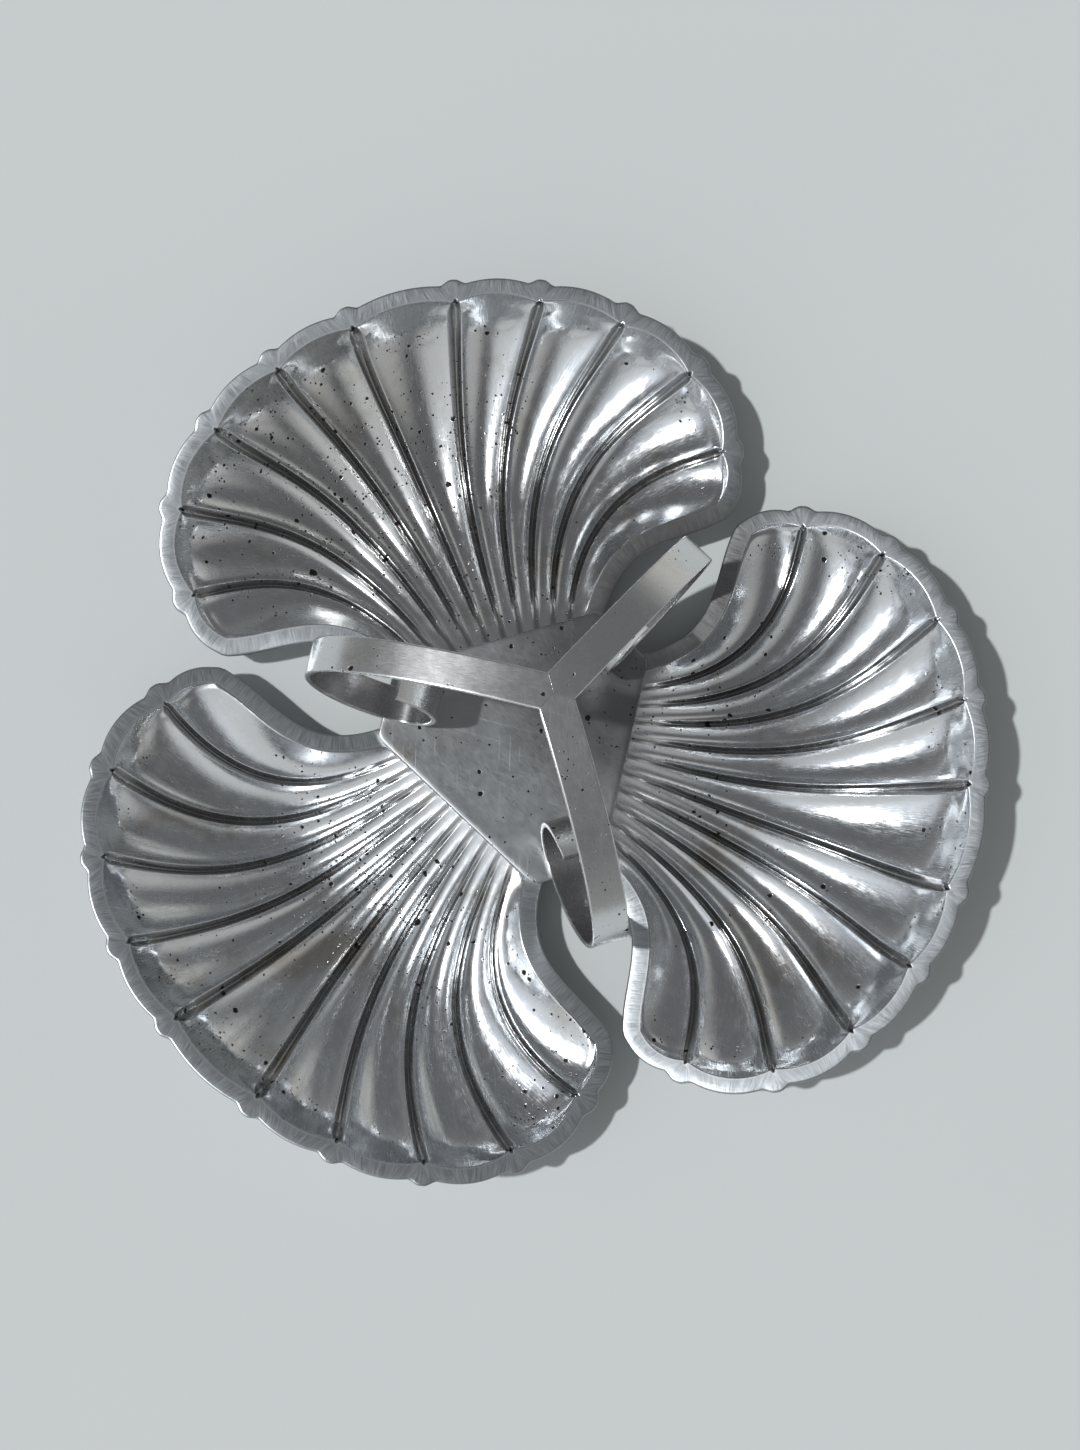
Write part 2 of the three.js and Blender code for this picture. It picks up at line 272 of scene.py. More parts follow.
def column_places(centre, across, groove, v):
    """Flute counts of the grid's points; the grooves taper to a nose at the rim."""
    half = groove_width(v) / 2 / flute_spacing(v)
    half = half * (NOSE_POINT + (1 - NOSE_POINT) * np.sqrt(np.clip((1 - v) / NOSE_RUN, 0, 1)))
    low = np.where(centre == -MIDDLE, -FLANK, centre - 0.5 + half)
    high = np.where(centre == MIDDLE, FLANK, centre + 0.5 - half)
    return np.where(groove, centre + across * half, lerp(low, high, (across + 1) / 2))


def shell_grid():
    """Upper face of one shell as a grid in its own millimetres, with what its masks need."""
    centre, across, groove = shell_columns()
    rows = (1 - np.cos(np.linspace(0, math.pi, SHELL_ROWS + 1))) / 2
    width = len(centre)
    v = np.repeat(rows[:, None], width, axis=1)
    c = np.repeat(centre[None], len(rows), axis=0)
    a = np.repeat(across[None], len(rows), axis=0)
    g = np.repeat(groove[None], len(rows), axis=0)
    u = column_places(c, a, g, v)
    arch = 1 - a ** 2
    plan = flute_point(u, v, arch * np.where(g, GROOVE_NOSE, SCALLOP))
    side = 1 - (np.abs(u) / FLANK) ** SIDE_WALL
    step = np.linalg.norm(np.diff(plan, axis=0), axis=-1)
    to_rim = np.concatenate([np.cumsum(step[::-1], axis=0)[::-1], np.zeros((1, width))], axis=0)

    def bowl(depth, end, slope, turn):
        bed = depth * profile(v, end / depth) * side
        wall = slope * to_rim
        blend = np.minimum(1, to_rim / turn) * turn
        return np.where((v <= 0) | (v >= 1), 0, np.maximum(smooth_least(bed, wall, blend), 0))

    crest = bowl(CREST_DEPTH, CREST_END_DEPTH, CREST_WALL_SLOPE, CREST_WALL_TURN)
    flute = np.maximum(bowl(FLUTE_DEPTH, FLUTE_END_DEPTH, FLUTE_WALL_SLOPE, FLUTE_WALL_TURN), crest)

    # Grooves with rounded bottoms between the flutes
    cut = GROOVE_DEPTH * np.minimum(1, np.minimum(v / GROOVE_RUN_IN, np.sqrt((1 - v) / GROOVE_RUN_OUT)))
    rounded = np.sqrt(a ** 2 + CHANNEL_ROUND ** 2) - CHANNEL_ROUND
    channel = 1 - rounded / (math.sqrt(1 + CHANNEL_ROUND ** 2) - CHANNEL_ROUND)
    relief = np.where(g, channel * cut, arch * (flute - crest))

    # Raised lips beside the grooves
    half_groove = groove_width(v) / 2
    half_flute = flute_spacing(v) / 2 - half_groove
    from_crest = (1 - np.abs(a)) * np.where(g, half_groove, half_flute)
    outermost = (np.abs(c) == MIDDLE) & (np.sign(a) == np.sign(c))
    lip = LIP_HEIGHT * np.exp(-(from_crest / LIP_REACH) ** 2) * np.minimum(1, v / LIP_RUN_IN)
    relief = relief - np.where(outermost, 0, lip * np.minimum(1, (1 - v) / NOSE_RUN))

    # The sheet's thickness is laid off square to the bowl without its relief
    base = flange_height(plan[..., 0])
    top = np.concatenate([plan, (base - crest - relief)[..., None]], axis=-1)
    plain = np.concatenate([plan, (base - crest)[..., None]], axis=-1)
    normal = np.cross(np.gradient(plain, axis=0), np.gradient(plain, axis=1))
    normal /= np.maximum(np.linalg.norm(normal, axis=-1, keepdims=True), 1e-9)
    normal *= np.where(normal[..., 2:] < 0, -1, 1)
    return dict(rows=rows, centre=centre, across=across, groove=groove, top=top, normal=normal,
                u=u, v=v, arch=arch, g=g, to_rim=to_rim)


def flange_outline(grid):
    """The bowl's edge walked round once: grid places, outer points and run along the edge."""
    rows, centre, across, groove = grid["rows"], grid["centre"], grid["across"], grid["groove"]
    last = len(centre) - 1
    end_row = len(rows) - 1
    arch = 1 - across ** 2
    knob = rim_distance(centre) + across * BUMP_WIDTH / 2
    low = rim_distance(centre - 0.5) + np.where(centre == -MIDDLE, 0, BUMP_WIDTH / 2)
    high = rim_distance(centre + 0.5) - np.where(centre == MIDDLE, 0, BUMP_WIDTH / 2)
    distance = np.where(groove, knob, lerp(low, high, (across + 1) / 2))
    shoulder = np.clip((1 - np.abs(across)) / BUMP_SHOULDER, 0, 1)
    bump = BUMP_HEIGHT * shoulder ** 2 * (3 - 2 * shoulder)
    rim = rim_point(distance, FLANGE + np.where(groove, bump, arch * FLANGE_WAVE))

    def flank(sign, row):
        edge = np.array(sign * FLANK)
        here = rows[row]
        inner = flute_point(edge, np.array(here), 0.0)
        tangent = (flute_point(edge, np.array(min(here + NUDGE, 1)), 0.0)
                   - flute_point(edge, np.array(max(here - NUDGE, 0)), 0.0))
        tangent /= np.linalg.norm(tangent)
        out = np.array([-sign * tangent[1], sign * tangent[0]])
        if row == end_row:
            end = rim_distance(edge)
            out = out + (rim_point(end, 1.0) - rim_point(end, 0.0))
        if row == 0:
            out = out + np.array([-1.0, 0.0])
        return inner + out / np.linalg.norm(out) * FLANGE

    places, outer = [], []
    for col in range(1, last):
        places.append((end_row, col))
        outer.append(rim[col])
    for row in range(end_row, -1, -1):
        places.append((row, last))
        outer.append(flank(1, row))
    for col in range(last - 1, 0, -1):
        places.append((0, col))
        outer.append(grid["top"][0, col, :2] - np.array([HINGE_TAB, 0.0]))
    for row in range(0, end_row + 1):
        places.append((row, 0))
        outer.append(flank(-1, row))
    outer = np.array(outer)
    # Round the outline's sharp joints a little
    beside = np.roll(outer, 1, axis=0) + np.roll(outer, -1, axis=0)
    outer = (1 - OUTLINE_SOFTENING) * outer + OUTLINE_SOFTENING / 2 * beside
    return places, outer, running_length(outer)


def build_shell(floor_height):
    """Points, faces and painted masks of one shell, its belly flattened at the floor."""
    grid = shell_grid()
    rows, width = len(grid["rows"]), len(grid["centre"])
    top = grid["top"]
    under = top - grid["normal"] * SHELL_SHEET
    places, outer, run = flange_outline(grid)
    inner = np.array([top[r, c] for r, c in places])
    edge = np.array([r * width + c for r, c in places])
    bowl_masks = {
        "along": grid["v"].ravel() * STREAK_RUN,
        "count": grid["u"].ravel(),
        "flange": np.zeros(rows * width),
        "valley": (grid["arch"] * grid["g"]).ravel(),
        "hollow": (grid["arch"] * (1 - grid["g"])).ravel(),
        "to_rim": grid["to_rim"].ravel(),
    }
    masks = {key: [values] for key, values in bowl_masks.items()}
    points = [top.reshape(-1, 3)]
    loops = [edge]
    count = rows * width
    for share, drop in FLANGE_RINGS:
        ring = inner.copy()
        ring[:, :2] = lerp(inner[:, :2], outer, share)
        ring[:, 2] = flange_height(ring[:, 0]) + drop * SHELL_SHEET
        points.append(ring)
        loops.append(np.arange(count, count + len(ring)))
        count += len(ring)
        none = np.zeros(len(ring))
        ring_masks = {"along": none + share * FLANGE, "count": run, "flange": none + 1.0}
        for key in masks:
            masks[key].append(ring_masks.get(key, none))
    start = count
    points.append(under.reshape(-1, 3))
    loops.append(edge + start)
    for key, values in bowl_masks.items():
        masks[key].append(values)

    r, c = np.meshgrid(np.arange(rows - 1), np.arange(width - 1), indexing="ij")
    a = (r * width + c).ravel()
    quads = np.stack([a, a + width, a + width + 1, a + 1], axis=1)
    faces = [quads, quads[:, ::-1] + start]
    for one, two in zip(loops[:-1], loops[1:]):
        faces.append(np.stack([one, two, np.roll(two, -1), np.roll(one, -1)], axis=1))
    points = np.concatenate(points)
    points[start:, 2] = np.maximum(points[start:, 2], floor_height)
    return points, np.concatenate(faces), {key: np.concatenate(values) for key, values in masks.items()}


def tube_faces(rings, around):
    """Quads between neighbouring rings that have the same number of points."""
    faces = []
    for i in range(rings - 1):
        for k in range(around):
            n = (k + 1) % around
            faces.append((i * around + k, i * around + n, (i + 1) * around + n, (i + 1) * around + k))
    return faces


def strap_line():
    """Middle line in a strap's own plane: distance from the axis and height above the plate."""
    half = STRAP_SHEET / 2
    hub = np.array([0.0, HUB_HEIGHT - half])
    bend = np.array([BEND_REACH - half, BEND_HEIGHT])
    foot = np.array([FOOT_REACH, SOLDER_FILM + half])
    curl = np.array([CURL_REACH + half, CURL_HEIGHT])
    tip = np.array([END_REACH, END_HEIGHT])
    return [
        (hub, np.array([lerp(hub[0], bend[0], ARC_PULL), hub[1]]),
         np.array([bend[0], lerp(bend[1], hub[1], ARC_PULL)]), bend),
        (bend, np.array([bend[0], lerp(bend[1], foot[1], FOOT_PULL)]),
         np.array([lerp(foot[0], bend[0], FOOT_PULL), foot[1]]), foot),
        (foot, np.array([lerp(foot[0], curl[0], ARC_PULL), foot[1]]),
         np.array([curl[0], lerp(curl[1], foot[1], ARC_PULL)]), curl),
        (curl, np.array([curl[0], lerp(curl[1], tip[1], TIP_PULL)]),
         np.array([lerp(curl[0], tip[0], TIP_PULL), lerp(curl[1], tip[1], TIP_RISE)]), tip),
    ]


def strap_section(half_width, edge):
    """Rounded strip section: places across the width and through the sheet."""
    half = STRAP_SHEET / 2
    flat = max(half_width - edge, 0.0)
    section = []
    for side, face, first in ((1, 1, 0), (-1, 1, 90), (-1, -1, 180), (1, -1, 270)):
        for step in range(STRAP_CORNER_STEPS + 1):
            angle = math.radians(first + 90 / STRAP_CORNER_STEPS * step)
            across = side * flat + edge * math.cos(angle)
            section.append((across, face * (half - edge) + edge * math.sin(angle)))
        if side * face > 0:
            section += [(side * flat * share, face * half) for share in STRAP_FACE_SHARES]
    return section


def build_strap():
    """Points, faces and masks of one strap, mitred at the hub."""
    stations, directions = [], []
    for i, piece in enumerate(strap_line()):
        t = np.linspace(0, 1, STRAP_STATIONS + 1)[1:]
        if i == 0:
            t = np.concatenate([MITRE_STATIONS, np.linspace(MITRE_RESUME, 1, STRAP_STATIONS)])
        stations.append(cubic(*piece, t[:, None]))
        directions.append(cubic_direction(*piece, t[:, None]))
    line = np.concatenate(stations)
    run = running_length(line)
    points, masks = [], {"along": [], "across": [], "face": []}
    for point, direction, distance in zip(line, np.concatenate(directions), run):
        half = STRAP_WIDTH / 2
        edge = STRAP_EDGE
        mitred = MITRE_SLOPE * (point[0] - MITRE_SEAM)
        if mitred < half and distance < MITRE_REACH:
            half = max(MITRE_TIP, mitred)
            edge = MITRE_EDGE
        section = strap_section(half, edge)
        for y, n in section:
            points.append((point[0] - direction[1] * n, y, point[1] + direction[0] * n))
            masks["along"].append(distance)
            masks["across"].append(y)
            masks["face"].append(1.0 if n > 0 else 0.0)
    around = len(section)
    faces = tube_faces(len(line), around)
    faces.append(tuple(range(around))[::-1])
    faces.append(tuple(range(len(points) - around, len(points))))
    points = np.array(points)
    points[:, 2] += PLATE_SHEET + SOLDER_FILM
    return points, faces, {key: np.array(value) for key, value in masks.items()}


def build_plate():
    """Points, faces and masks of the plate: three long sides over the hinges, with the corners cut off."""
    half_side = HINGE_WIDTH / 2 + PLATE_MARGIN
    corners = []
    for azimuth in sorted(SHELL_AZIMUTHS.values()):
        angle = math.radians(azimuth)
        for end in (-1, 1):
            corners.append((HINGE_REACH * math.cos(angle) - end * half_side * math.sin(angle),
                            HINGE_REACH * math.sin(angle) + end * half_side * math.cos(angle)))
    corners = np.array(corners)
    outline = []
    for corner, following in zip(corners, np.roll(corners, -1, axis=0)):
        for k in range(PLATE_STEPS):
            outline.append(lerp(corner, following, k / PLATE_STEPS))
    outline = np.array(outline)
    for _ in range(PLATE_SOFTENINGS):
        outline = 0.5 * outline + 0.25 * (np.roll(outline, 1, axis=0) + np.roll(outline, -1, axis=0))
    rings = [(share, 0.0) for share in PLATE_FACE] + PLATE_EDGE
    points = []
    for share, drop in rings:
        for x, y in outline * share:
            z = SOLDER_FILM + PLATE_SHEET - drop
            if drop == 0:
                wave = PLATE_WAVE * math.sin(x * WAVE_TURNS[0] + WAVE_START) * math.cos(y * WAVE_TURNS[1])
                z += wave * (1 - share ** WAVE_FADE)
                if share < HOLLOW_SHARE:
                    z -= PLATE_HOLLOW
            points.append((x, y, z))
    around = len(outline)
    faces = [(a, d, c, b) for a, b, c, d in tube_faces(len(rings), around)]
    faces.append(tuple(range(around)))
    faces.append(tuple(range(len(points) - around, len(points)))[::-1])
    points = np.array(points)
    return points, faces, {"along": points[:, 0], "across": points[:, 1]}


def make_object(name, points, faces, masks, place, sharp=None):
    mesh = bpy.data.meshes.new(name)
    mesh.from_pydata((np.asarray(points) * MM).tolist(), [], [list(map(int, f)) for f in faces])
    mesh.update()
    for key, values in masks.items():
        mesh.attributes.new(key, "FLOAT", "POINT").data.foreach_set("value", values.astype(np.float32))
    mesh.transform(place)
    mesh.update()
    for polygon in mesh.polygons:
        polygon.use_smooth = True
    if sharp:
        mesh.set_sharp_from_angle(angle=math.radians(sharp))
    obj = bpy.data.objects.new(name, mesh)
    bpy.context.scene.collection.objects.link(obj)
    return obj


def turned(azimuth):
    return Matrix.Translation(AXIS) @ Matrix.Rotation(math.radians(azimuth), 4, "Z")


# Base colours of the silver, and the shares of red, green and blue that tarnish leaves
SHELL_COLOUR = (0.715, 0.745, 0.77)
PLATE_COLOUR = (0.49, 0.51, 0.525)
STRAP_COLOUR = (0.74, 0.755, 0.76)
TARNISH_TINT = (0.76, 0.71, 0.65)

# Colours of what lies on the silver
PIT_BLACK = (0.03, 0.028, 0.026, 1.0)
# Tarnish with painted shade in the grooves' hollows
GROOVE_TARNISH_AND_SHADE = (0.2, 0.195, 0.19, 1.0)
# Grime with painted shade on the flanks under the back strap
FLANGE_GRIME_AND_SHADE = (0.14, 0.13, 0.12, 1.0)
# Painted shade for the plate under the hub and the back strap
PLATE_SHADE = (0.14, 0.14, 0.14, 1.0)
# Painted shade on the straps' undersides and the insides of their curls
STRAP_UNDERSIDE_SHADE = (0.26, 0.26, 0.265, 1.0)
FLANGE_DULL = (0.43, 0.465, 0.49, 1.0)
FLANGE_BRIGHT = (0.6, 0.64, 0.665, 1.0)
# Painted shade along the flange's outer edge, then a painted highlight along its inner edge
FLANGE_OUTER_SHADE = (0.2, 0.21, 0.22, 1.0)
FLANGE_INNER_HIGHLIGHT = (0.86, 0.88, 0.9, 1.0)
FLOOR_DULL = (0.55, 0.582, 0.59, 1.0)
FLOOR_BRIGHT = (0.585, 0.615, 0.62, 1.0)

# Stains, and patches of painted shade under the back strap: place on the dish and reach, in metres
TARNISH_STAIN = (-0.075, 0.03, 0.055)
LEFT_PITTING = (-0.068, 0.035, 0.045)
FRONT_PITTING = (-0.006, -0.052, 0.04)
# Patch of grime with painted shade under the back strap
FLANGE_GRIME_AND_SHADE_SPOT = (0.0, 0.058, 0.05)
# Patch of painted shade under the hub and the back strap
PLATE_SHADE_SPOT = (0.008, 0.036, 0.042)
PATCH_HEIGHT = 0.01
PATCH_CORE = 0.35

# Noise cells per metre, coarse to fine
PATCH_SCALE = 24.0
CLOUD_SCALE = 34.0
FOOT_SCALE = 70.0
MOTTLE_SCALE = 260.0
DENT_SCALE = 620.0
CRINKLE_SCALE = 1100.0
GRAIN_SCALE = 3200.0
SEED_STEP = (0.37, 0.11)

# Rough length of a flute in millimetres, which the streaks along it are measured by
STREAK_RUN = 90.0
# Streaks: cells per flute or millimetre across, and per millimetre along
SHELL_STREAKS = (70.0, 0.22)
FLAT_STREAKS = (6.0, 0.35)
FILE_STROKES = (4.0, 0.2)
FILE_SEED = 5.0

# Pits: cells per metre, size as a share of a cell, share of the patch's cells that hold one
PITS = [(1100.0, 0.32, 1.0), (480.0, 0.3, 0.7), (170.0, 0.17, 0.2)]
# Scratches: direction in radians, spacing and length in metres, noise level above which they show
SCRATCHES = [(0.5, 0.0003, 0.018, 0.67), (2.3, 0.0004, 0.025, 0.69), (1.1, 0.0003, 0.03, 0.69)]
SCRATCH_EDGE = 0.05

# Heights of the uneven face, which the bump node scales
DENT_HEIGHT = 0.15
STREAK_HEIGHT = 0.1
GRAIN_HEIGHT = 0.01
SCRATCH_HEIGHT = 0.01
WORN_SCRATCH_HEIGHT = 0.03
PIT_HEIGHT = 0.6
STROKE_HEIGHT = 0.12
CRINKLE_HEIGHT = 0.25
BUMP_STRENGTH = 0.35
BUMP_DISTANCE = 0.0005
# What scratches and pits add to the roughness, and how far the straps' shine is drawn out
SCRATCH_ROUGHNESS = 0.04
WORN_SCRATCH_ROUGHNESS = 0.06
PIT_ROUGHNESS = 0.45
BRUSHED = 0.15
# Shares of mottling and streaks in the haze
MOTTLE_PART = 0.3
STREAK_PART = 0.7


def new_material(name):
    material = bpy.data.materials.new(name)
    material.use_nodes = True
    tree = material.node_tree
    return material, tree, tree.nodes["Principled BSDF"]


class Graph:
    """Short names for the nodes of one material or world."""

    def __init__(self, tree):
        self.tree = tree

    def node(self, kind, **inputs):
        made = self.tree.nodes.new(kind)
        for key, value in inputs.items():
            self.put(made, key, value)
        return made

    def put(self, node, key, value):
        """Link or set an input, named in full or as i and its number."""
        socket = node.inputs[int(key[1:])] if key[0] == "i" and key[1:].isdigit() else node.inputs[key]
        if isinstance(value, bpy.types.NodeSocket):
            self.tree.links.new(value, socket)
        else:
            socket.default_value = value

    def attribute(self, name):
        made = self.tree.nodes.new("ShaderNodeAttribute")
        made.attribute_name = name
        return made.outputs["Fac"]

    def math(self, operation, a, b):
        made = self.tree.nodes.new("ShaderNodeMath")
        made.operation = operation
        self.put(made, "i0", a)
        self.put(made, "i1", b)
        return made.outputs[0]

    def plus(self, a, b):
        return self.math("ADD", a, b)

    def minus(self, a, b):
        return self.math("SUBTRACT", a, b)

    def times(self, a, b):
        return self.math("MULTIPLY", a, b)

    def most(self, a, b):
        return self.math("MAXIMUM", a, b)

    def combine(self, x, y, z):
        return self.node("ShaderNodeCombineXYZ", i0=x, i1=y, i2=z).outputs[0]

    def vector_math(self, operation, a, b):
        made = self.node("ShaderNodeVectorMath", i0=a, i1=b)
        made.operation = operation
        return made.outputs

    def noise(self, vector, scale, detail, rough, warp=0.0):
        made = self.node("ShaderNodeTexNoise", Vector=vector, Scale=scale, Detail=detail, Roughness=rough,
                         Distortion=warp)
        return made.outputs["Fac"]

    def cells(self, vector, scale):
        return self.node("ShaderNodeTexVoronoi", Vector=vector, Scale=scale).outputs

    def ramp(self, value, low, high, out_low=0.0, out_high=1.0):
        made = self.node("ShaderNodeMapRange", i0=value, i1=low, i2=high, i3=out_low, i4=out_high)
        made.clamp = True
        made.interpolation_type = "SMOOTHSTEP"
        return made.outputs[0]

    def mix(self, factor, a, b):
        made = self.tree.nodes.new("ShaderNodeMix")
        made.data_type = "RGBA"
        self.put(made, "i0", factor)
        self.put(made, "i6", a)
        self.put(made, "i7", b)
        return made.outputs[2]

    def bump(self, height, strength, distance):
        return self.node("ShaderNodeBump", Strength=strength, Distance=distance, Height=height).outputs[0]

    def position(self):
        return self.tree.nodes.new("ShaderNodeTexCoord").outputs["Object"]


def pit_layer(g, place, scale, size, amount):
    """Black corrosion pits: uneven spots of many sizes, thinned out to the given share."""
    wobble = g.noise(place, scale * 2.2, 2.0, 0.6)
    cell = g.cells(place, scale)
    random = g.node("ShaderNodeSeparateColor", Color=cell["Color"]).outputs
    keep = g.math("LESS_THAN", random[0], amount)
    radius = g.times(g.math("POWER", random[1], 2.0), size)
    uneven = g.times(g.minus(wobble, 0.5), size * 1.6)
    reach = g.plus(cell["Distance"], uneven)
    spot = g.minus(g.plus(radius, size * 0.3), reach)
    return g.times(g.ramp(spot, 0.0, size * 0.22), keep)


def scratch_layer(g, place, angle, spacing, length, level):
    """Fine straight scratches in one direction, as the crests of a stretched noise."""
    c, s = math.cos(angle), math.sin(angle)
    x, y, _ = g.node("ShaderNodeSeparateXYZ", i0=place).outputs
    along = g.plus(g.times(x, c), g.times(y, s))
    across = g.minus(g.times(y, c), g.times(x, s))
    stretched = g.combine(g.times(along, 1.0 / length), g.times(across, 1.0 / spacing), angle * 7.0)
    return g.ramp(g.noise(stretched, 1.0, 1.0, 0.4), level, level + SCRATCH_EDGE)


class Silver:
    """Worn silver: polished metal under haze, fine scratches, brown tarnish clouds and black pits."""

    def __init__(self, name, seed):
        self.material, tree, self.shader = new_material(name)
        self.graph = Graph(tree)
        self.seed = seed
        self.dish_place = self.graph.position()
        shift = (seed * SEED_STEP[0], seed * SEED_STEP[1], 0.0)
        self.place = self.graph.vector_math("ADD", self.dish_place, shift)[0]
        self.cloud = self.graph.noise(self.place, CLOUD_SCALE, 6.0, 0.62, 0.5)

    def soft_patch(self, spot):
        """Soft patch round a point of the dish."""
        x, y, reach = spot
        apart = self.graph.vector_math("DISTANCE", self.dish_place, (x, y, PATCH_HEIGHT))["Value"]
        return self.graph.ramp(apart, reach * PATCH_CORE, reach, 1.0, 0.0)

    def tarnished(self, base, soft_patch=0.0):
        tarnish = self.graph.most(self.graph.ramp(self.cloud, 0.53, 0.73), soft_patch)
        dull = [part * tint for part, tint in zip(base, TARNISH_TINT)]
        return self.graph.mix(tarnish, (*base, 1.0), (*dull, 1.0))

    def pit_patches(self):
        return self.graph.ramp(self.graph.noise(self.place, PATCH_SCALE, 3.0, 0.55), 0.46, 0.62)

    def pits(self, patches, most_share, cover=1.0):
        g = self.graph
        share = g.times(g.math("POWER", g.math("MINIMUM", patches, 1.0), 1.6), most_share)
        share = g.times(share, cover)
        pit = 0.0
        for scale, size, part in PITS:
            pit = g.most(pit, pit_layer(g, self.place, scale, size, g.times(share, part)))
        return pit

    def streak_place(self, across, cells, seed):
        g = self.graph
        x = g.times(g.attribute(across), cells[0])
        y = g.times(g.attribute("along"), cells[1])
        return g.combine(x, y, seed)

    def wear(self, pit, streak_place, polish, haze, spread, unevenness, worn=0.0):
        """Roughness and height of the worn face."""
        g = self.graph
        mottle = g.noise(self.place, MOTTLE_SCALE, 6.0, 0.68)
        dents = g.noise(self.place, DENT_SCALE, 2.0, 0.5)
        grain = g.noise(self.place, GRAIN_SCALE, 2.0, 0.5)
        streaks = g.noise(streak_place, 1.0, 5.0, 0.7)
        lines = 0.0
        for direction, spacing, length, level in SCRATCHES:
            lines = g.most(lines, scratch_layer(g, self.place, direction, spacing, length, level))
        lines = g.times(lines, g.ramp(self.cloud, 0.4, 0.6))
        rubbed = g.plus(g.times(mottle, MOTTLE_PART), g.times(streaks, STREAK_PART))
        roughness = g.ramp(rubbed, 0.5 - spread, 0.5 + spread, polish, haze)
        roughness = g.plus(roughness, g.times(lines, SCRATCH_ROUGHNESS + worn * WORN_SCRATCH_ROUGHNESS))
        height = g.plus(g.times(dents, DENT_HEIGHT * unevenness), g.times(grain, GRAIN_HEIGHT))
        height = g.plus(height, g.times(streaks, STREAK_HEIGHT * unevenness))
        height = g.minus(height, g.times(lines, SCRATCH_HEIGHT + worn * WORN_SCRATCH_HEIGHT))
        height = g.minus(height, g.times(pit, PIT_HEIGHT))
        return roughness, height

    def finish(self, colour, roughness, height, pit):
        g = self.graph
        g.put(self.shader, "Base Color", g.mix(pit, colour, PIT_BLACK))
        g.put(self.shader, "Roughness", g.plus(roughness, g.times(pit, PIT_ROUGHNESS)))
        g.put(self.shader, "Normal", g.bump(height, BUMP_STRENGTH, BUMP_DISTANCE))
        self.shader.inputs["Metallic"].default_value = 1.0
        return self.material


def shell_metal():
    metal = Silver("shell_silver", 1.0)
    g = metal.graph
    along, to_rim, flange = g.attribute("along"), g.attribute("to_rim"), g.attribute("flange")
    colour = metal.tarnished(SHELL_COLOUR, g.times(metal.soft_patch(TARNISH_STAIN), 0.5))

    # Pits gather in patches, in two stains and at the foot of the flutes' end walls, not on the flange
    foot = g.times(g.ramp(to_rim, 3.5, 6.0), g.ramp(to_rim, 7.0, 10.0, 1.0, 0.0))
    foot = g.times(foot, g.ramp(g.attribute("hollow"), 0.3, 0.8))
    patches = g.plus(g.times(metal.pit_patches(), 0.55), g.times(metal.soft_patch(LEFT_PITTING), 0.75))
    patches = g.plus(patches, g.times(metal.soft_patch(FRONT_PITTING), 0.5))
    foot_patches = g.ramp(g.noise(metal.place, FOOT_SCALE, 2.0, 0.5), 0.42, 0.58)
    patches = g.plus(patches, g.times(foot, foot_patches))
    pit = metal.pits(patches, 0.75, g.minus(1.0, flange))

    streak_place = metal.streak_place("count", SHELL_STREAKS, metal.seed)
    roughness, height = metal.wear(pit, streak_place, polish=0.1, haze=0.28, spread=0.12, unevenness=1.0)

    # Satin flange with file strokes, a painted highlight along its inner edge and painted shade along its
    # outer one
    strokes = g.noise(metal.streak_place("count", FILE_STROKES, metal.seed + FILE_SEED), 1.0, 6.0, 0.7)
    flange_tone_and_painted_edges = g.mix(g.ramp(strokes, 0.38, 0.62), FLANGE_DULL, FLANGE_BRIGHT)
    flange_tone_and_painted_edges = g.mix(g.ramp(along, 3.9, 4.5, 0.0, 0.4), flange_tone_and_painted_edges, FLANGE_OUTER_SHADE)
    flange_tone_and_painted_edges = g.mix(g.ramp(along, 0.25, 0.75, 0.5, 0.0), flange_tone_and_painted_edges, FLANGE_INNER_HIGHLIGHT)
    colour = g.mix(flange, colour, flange_tone_and_painted_edges)
    satin = g.ramp(strokes, 0.3, 0.7, 0.3, 0.42)
    roughness = g.plus(roughness, g.times(flange, g.minus(satin, roughness)))
    height = g.plus(height, g.times(g.times(strokes, flange), STROKE_HEIGHT))

    # Grooves darkened by tarnish and painted shade in their hollows, crinkled feet of the end walls, and
    # grime with painted shade by the back strap
    colour = g.mix(g.times(g.attribute("valley"), 0.7), colour, GROOVE_TARNISH_AND_SHADE)
    crinkle = g.noise(metal.place, CRINKLE_SCALE, 2.0, 0.6)
    height = g.plus(height, g.times(g.times(crinkle, foot), CRINKLE_HEIGHT))
    # Grime with painted shade under the back strap, strongest on the flanges
    grime_and_shade = g.times(metal.soft_patch(FLANGE_GRIME_AND_SHADE_SPOT), g.plus(g.times(flange, 0.5), 0.2))
    colour = g.mix(grime_and_shade, colour, FLANGE_GRIME_AND_SHADE)
    return metal.finish(colour, roughness, height, pit)


def plate_metal():
    metal = Silver("plate_silver", 2.0)
    g = metal.graph
    colour = metal.tarnished(PLATE_COLOUR)
    pit = metal.pits(g.plus(metal.pit_patches(), 0.35), 0.35)
    streak_place = metal.streak_place("across", FLAT_STREAKS, metal.seed)
    roughness, height = metal.wear(pit, streak_place, polish=0.26, haze=0.44, spread=0.24, unevenness=0.35,
                                   worn=1.0)
    # Painted shade of the hub and the back strap darkens the plate under them
    colour = g.mix(g.times(metal.soft_patch(PLATE_SHADE_SPOT), 0.75), colour, PLATE_SHADE)
    return metal.finish(colour, roughness, height, pit)


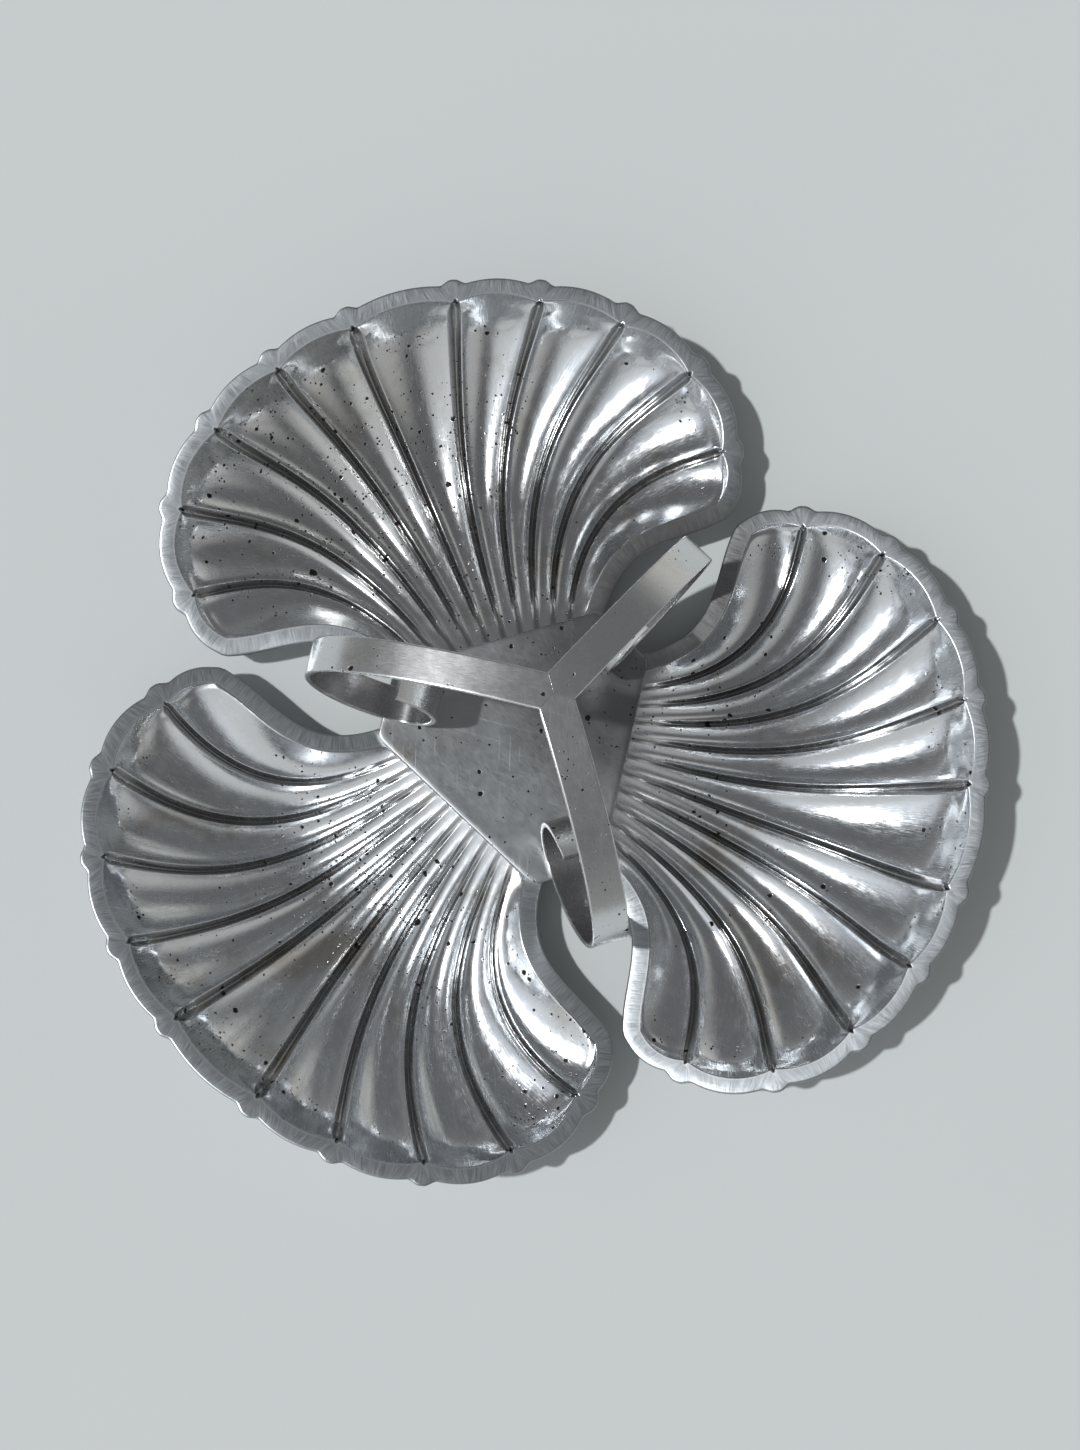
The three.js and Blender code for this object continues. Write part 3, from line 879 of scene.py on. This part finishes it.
def strap_metal():
    metal = Silver("strap_silver", 3.0)
    g = metal.graph
    colour = metal.tarnished(STRAP_COLOUR)
    pit = metal.pits(g.plus(metal.pit_patches(), 0.35), 0.16)
    streak_place = metal.streak_place("across", FLAT_STREAKS, metal.seed)
    roughness, height = metal.wear(pit, streak_place, polish=0.2, haze=0.31, spread=0.24, unevenness=0.35)
    # Painted shade on the straps' undersides and the insides of their curls
    inside = g.minus(1.0, g.attribute("face"))
    colour = g.mix(g.times(inside, 0.6), colour, STRAP_UNDERSIDE_SHADE)
    metal.shader.inputs["Anisotropic"].default_value = BRUSHED
    g.put(metal.shader, "Tangent", g.combine(g.attribute("side_x"), g.attribute("side_y"), 0.0))
    return metal.finish(colour, roughness, height, pit)


def floor_material():
    material, tree, shader = new_material("pale_floor")
    g = Graph(tree)
    cloud = g.noise(g.position(), 3.0, 4.0, 0.6)
    g.put(shader, "Base Color", g.mix(cloud, FLOOR_DULL, FLOOR_BRIGHT))
    shader.inputs["Roughness"].default_value = 0.85
    shader.inputs["Specular IOR Level"].default_value = 0.2
    return material


# Shells
points, faces, masks = build_shell(-AXIS.z / MM)
shell_silver = shell_metal()
for place, azimuth in SHELL_AZIMUTHS.items():
    shell = make_object(f"fluted_shell_{place}", points, faces, masks, turned(azimuth))
    shell.data.materials.append(shell_silver)
    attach(shell, "root")
    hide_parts(f"shell_dish_{place}")

# Plate
points, faces, masks = build_plate()
plate = make_object("flat_centre_plate", points, faces, masks, turned(0.0))
plate.data.materials.append(plate_metal())
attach(plate, "root")
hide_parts("centre_plate")

# Straps, each with the direction across it for the brushed finish
points, faces, masks = build_strap()
strap_silver = strap_metal()
for place, azimuth in STRAP_AZIMUTHS.items():
    masks["side_x"] = np.full(len(points), -math.sin(math.radians(azimuth)))
    masks["side_y"] = np.full(len(points), math.cos(math.radians(azimuth)))
    strap = make_object(f"scrolled_strap_{place}", points, faces, masks, turned(azimuth), sharp=STRAP_SHARP)
    strap.data.materials.append(strap_silver)
    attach(strap, "root")
    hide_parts(f"handle_strap_{place}")

# Floor
FLOOR_SIZE = 60.0
bpy.ops.mesh.primitive_plane_add(size=FLOOR_SIZE, location=(0.0, 0.0, 0.0))
floor = bpy.context.object
floor.name = "floor"
floor.data.materials.append(floor_material())

# Camera at the photograph's place, tilted and turned as it was held
RIGHT = Vector((0.72622788, 0.67937159, 0.10511))
DOWN = Vector((0.68661784, -0.70927702, -0.159629))
AHEAD = Vector((-0.03389563, 0.18809704, -0.981565))
CAMERA_PLACE = Vector((0.023462, -0.122707, 0.66675))
camera_data = bpy.data.cameras.new("camera")
camera_data.sensor_fit = "HORIZONTAL"
camera_data.sensor_width = 36.0
camera_data.lens = 88.477
camera_data.clip_start = 0.01
camera = bpy.data.objects.new("camera", camera_data)
bpy.context.scene.collection.objects.link(camera)
turn = Matrix((RIGHT, -DOWN, -AHEAD)).transposed().to_4x4()
camera.matrix_world = Matrix.Translation(AXIS + CAMERA_PLACE) @ turn
bpy.context.scene.camera = camera

# Key light: high, from the picture's left
KEY_HEIGHT = math.radians(59)
KEY_SWING = math.radians(7)
LEFT = -Vector((RIGHT.x, RIGHT.y, 0.0)).normalized()
sun_data = bpy.data.lights.new("key", "SUN")
sun_data.energy = 2.45
sun_data.angle = math.radians(2.0)
sun = bpy.data.objects.new("key", sun_data)
bpy.context.scene.collection.objects.link(sun)
from_left = Matrix.Rotation(KEY_SWING, 3, "Z") @ LEFT
toward = from_left * math.cos(KEY_HEIGHT) + Vector((0, 0, math.sin(KEY_HEIGHT)))
sun.rotation_euler = toward.to_track_quat("Z", "Y").to_euler()

# Room: a dim sky over a paler horizon, with soft panels that the silver mirrors
HORIZON = (0.26, 0.258, 0.254, 1.0)
SKY = (0.145, 0.146, 0.15, 1.0)
SKY_START = 0.6
# Panels: azimuth, height, inner and outer radius in degrees, colour
PANELS = [(262, 41, 6, 46, (0.88, 0.91, 0.95, 1.0)), (292, 26, 8, 40, (0.64, 0.64, 0.63, 1.0)),
          (15, 16, 8, 36, (0.5, 0.495, 0.48, 1.0)), (88, 10, 6, 28, (0.58, 0.57, 0.54, 1.0))]
world = bpy.data.worlds.new("room")
bpy.context.scene.world = world
world.use_nodes = True
room = Graph(world.node_tree)
direction = world.node_tree.nodes.new("ShaderNodeTexCoord").outputs["Generated"]
height = room.node("ShaderNodeSeparateXYZ", i0=direction).outputs[2]
tone = room.mix(room.ramp(height, 0.0, SKY_START), HORIZON, SKY)
for azimuth, rise, inner, outer, colour in PANELS:
    level = math.cos(math.radians(rise))
    centre = (math.cos(math.radians(azimuth)) * level, math.sin(math.radians(azimuth)) * level,
              math.sin(math.radians(rise)))
    facing = room.vector_math("DOT_PRODUCT", direction, centre)["Value"]
    panel = room.ramp(facing, math.cos(math.radians(outer)), math.cos(math.radians(inner)))
    tone = room.mix(panel, tone, colour)
background = world.node_tree.nodes["Background"]
room.put(background, "Color", tone)
background.inputs["Strength"].default_value = 1.0

bpy.context.scene.view_settings.view_transform = "Standard"
